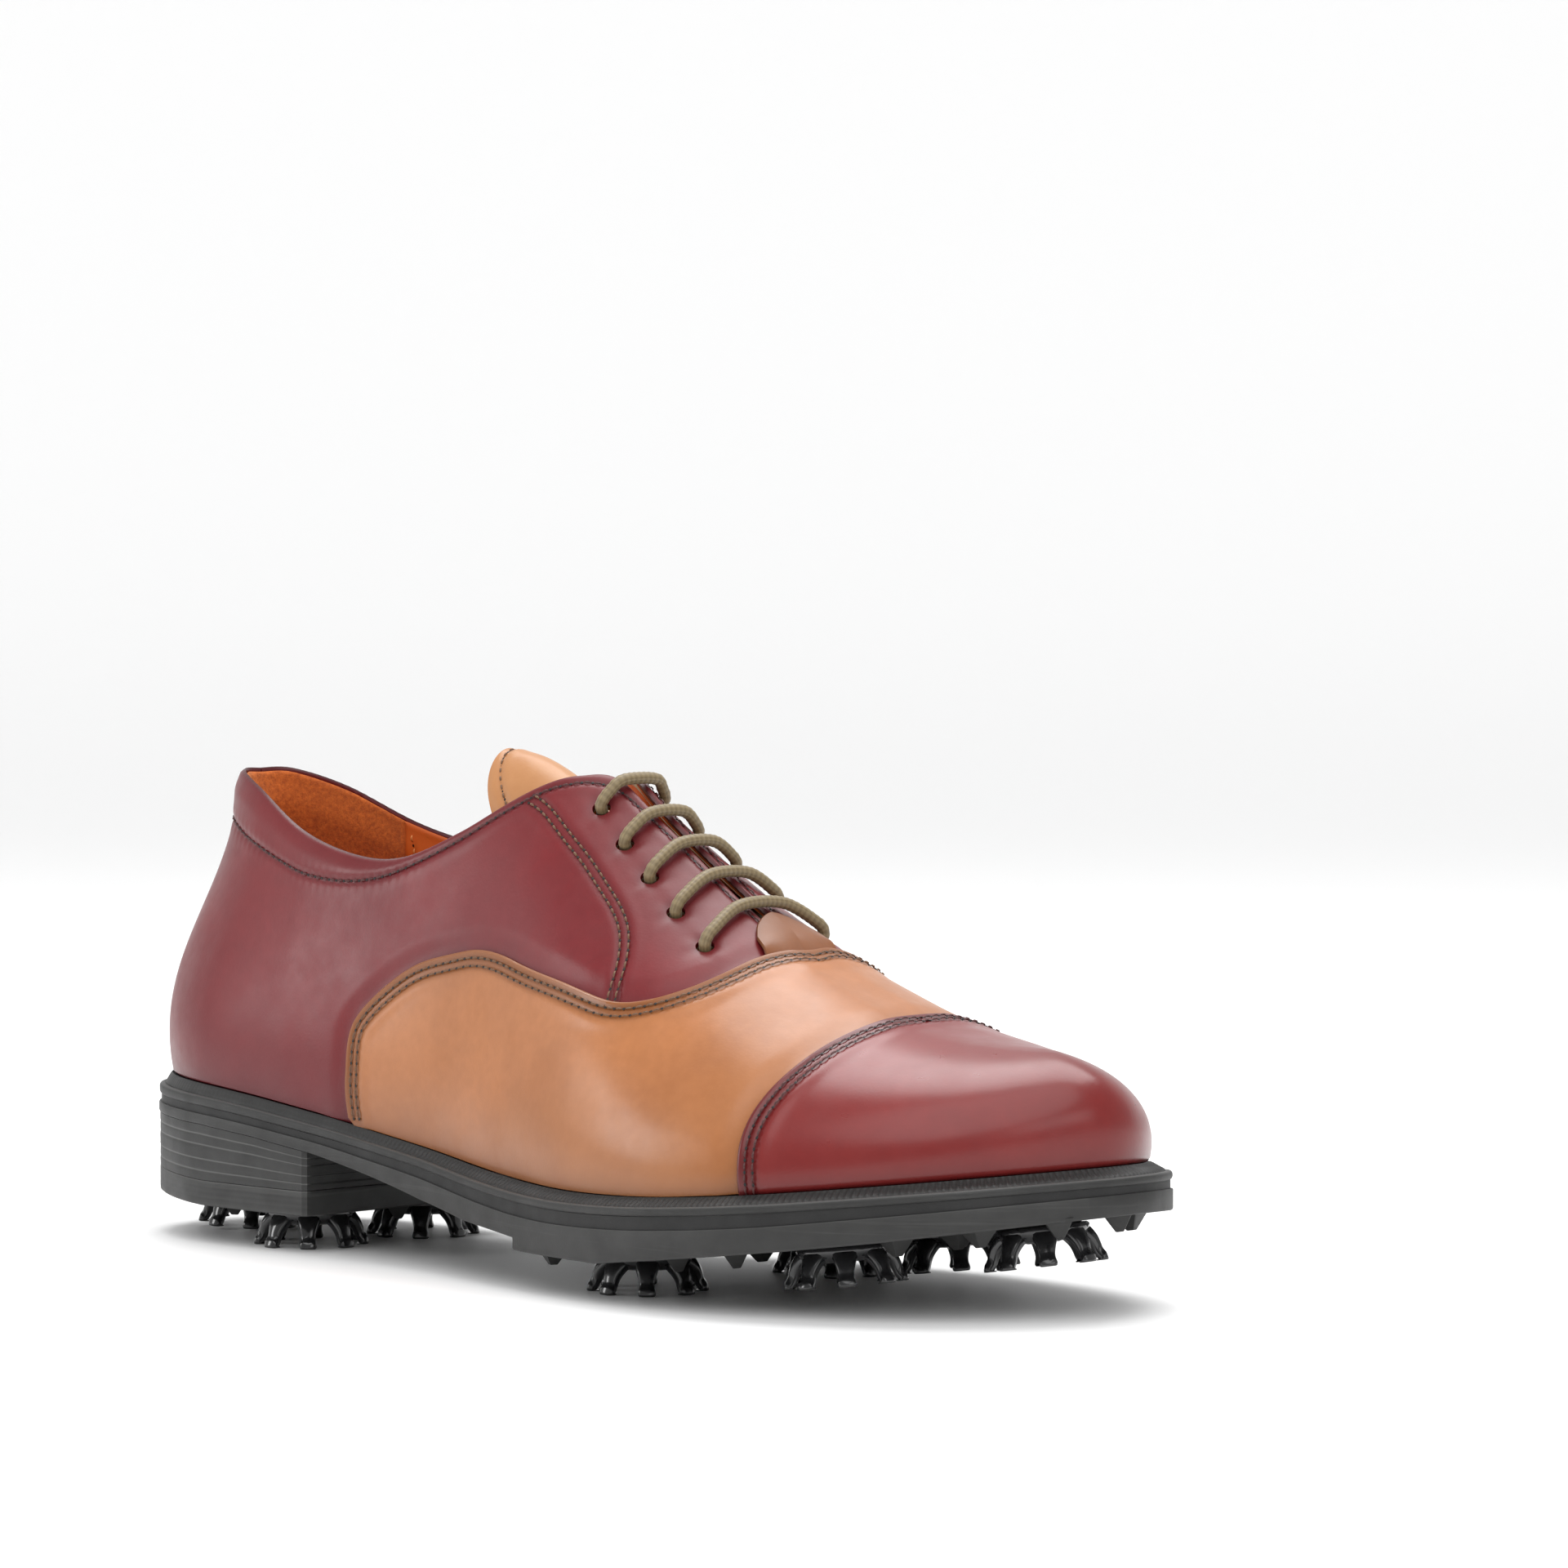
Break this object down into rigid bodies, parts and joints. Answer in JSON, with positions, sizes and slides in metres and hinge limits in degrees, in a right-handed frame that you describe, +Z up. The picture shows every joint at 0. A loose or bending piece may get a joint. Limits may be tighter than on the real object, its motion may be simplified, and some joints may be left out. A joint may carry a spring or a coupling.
{
  "type": "golf shoe",
  "caption": "Right-foot cap-toe golf shoe with laced leather upper, welted rubber sole, block heel and twist-in soft cleats.",
  "frame": {"origin": "on the ground, under the middle of the sole's length and width", "axes": "+X towards the toe, -Y towards the outer side of the right foot, +Z up"},
  "size_m": [0.2972, 0.1066, 0.1191],
  "materials": {
    "burgundy_leather": "burnished, satin",
    "tan_leather": "burnished, satin",
    "brown_leather": "satin",
    "stiffener_board": "fibrous, matt",
    "collar_foam": "foam, matt",
    "lining_leather": "smooth, matt",
    "lining_suede": "suede",
    "lace_cord": "waxed",
    "aglet_plastic": "clear over the lace",
    "insole_fibre": "fibrous, matt",
    "cork": "granular, matt",
    "spring_steel": "rolled",
    "sole_rubber": "satin",
    "receptacle_plastic": "moulded",
    "cleat_plastic": "glossy"
  },
  "bodies": {
    "shoe": {"toe_cap": "burgundy_leather", "vamp": "tan_leather", "quarter_outer": "burgundy_leather", "quarter_inner": "burgundy_leather", "throat_tab": "brown_leather", "facing_stay_outer": "stiffener_board", "facing_stay_inner": "stiffener_board", "toe_puff": "stiffener_board", "heel_counter": "stiffener_board", "collar_padding": "collar_foam", "vamp_lining": "lining_leather", "quarter_lining_outer": "lining_leather", "quarter_lining_inner": "lining_leather", "heel_grip_lining": "lining_suede", "shoelace": "lace_cord", "aglet_outer": "aglet_plastic", "aglet_inner": "aglet_plastic", "sock_liner": "lining_leather", "insole_board": "insole_fibre", "cork_filler": "cork", "shank": "spring_steel", "welt": "sole_rubber", "midsole": "sole_rubber", "outsole": "sole_rubber", "heel_block": "sole_rubber", "top_lift": "sole_rubber", "heel_pins": "spring_steel", "receptacle_1": "receptacle_plastic", "receptacle_2": "receptacle_plastic", "receptacle_3": "receptacle_plastic", "receptacle_4": "receptacle_plastic", "receptacle_5": "receptacle_plastic", "receptacle_6": "receptacle_plastic", "receptacle_7": "receptacle_plastic", "receptacle_8": "receptacle_plastic"},
    "tongue": {"tongue": "tan_leather", "tongue_lining": "lining_leather"},
    "cleat_1": {"cleat_1": "cleat_plastic"},
    "cleat_2": {"cleat_2": "cleat_plastic"},
    "cleat_3": {"cleat_3": "cleat_plastic"},
    "cleat_4": {"cleat_4": "cleat_plastic"},
    "cleat_5": {"cleat_5": "cleat_plastic"},
    "cleat_6": {"cleat_6": "cleat_plastic"},
    "cleat_7": {"cleat_7": "cleat_plastic"},
    "cleat_8": {"cleat_8": "cleat_plastic"}
  },
  "joints": [
    {"name": "tongue_press", "type": "hinge", "parent": "shoe", "child": "tongue", "pos_m": [0.05441, 0.00059, 0.067], "axis": [0, 1, 0], "range_deg": [-12, 0], "stiffness_Nm_per_rad": 0.3, "springref_deg": 2.86},
    {"name": "cleat_1_twist", "type": "hinge", "parent": "shoe", "child": "cleat_1", "pos_m": [-0.08959, -0.01641, 0.009], "axis": [0, 0, -1], "range_deg": [0, 90]},
    {"name": "cleat_2_twist", "type": "hinge", "parent": "shoe", "child": "cleat_2", "pos_m": [-0.08759, 0.01759, 0.009], "axis": [0, 0, -1], "range_deg": [0, 90]},
    {"name": "cleat_3_twist", "type": "hinge", "parent": "shoe", "child": "cleat_3", "pos_m": [-0.12959, 0.00059, 0.0098], "axis": [-0.04, 0, -0.9992], "range_deg": [0, 90]},
    {"name": "cleat_4_twist", "type": "hinge", "parent": "shoe", "child": "cleat_4", "pos_m": [0.03441, -0.02541, 0.009], "axis": [0, 0, -1], "range_deg": [0, 90]},
    {"name": "cleat_5_twist", "type": "hinge", "parent": "shoe", "child": "cleat_5", "pos_m": [0.03941, 0.02859, 0.009], "axis": [0, 0, -1], "range_deg": [0, 90]},
    {"name": "cleat_6_twist", "type": "hinge", "parent": "shoe", "child": "cleat_6", "pos_m": [0.09041, -0.02041, 0.01437], "axis": [0.1213, 0, -0.9926], "range_deg": [0, 90]},
    {"name": "cleat_7_twist", "type": "hinge", "parent": "shoe", "child": "cleat_7", "pos_m": [0.07941, 0.02759, 0.01302], "axis": [0.1213, 0, -0.9926], "range_deg": [0, 90]},
    {"name": "cleat_8_twist", "type": "hinge", "parent": "shoe", "child": "cleat_8", "pos_m": [0.12441, 0.00659, 0.01906], "axis": [0.1537, 0, -0.9881], "range_deg": [0, 90]}
  ]
}
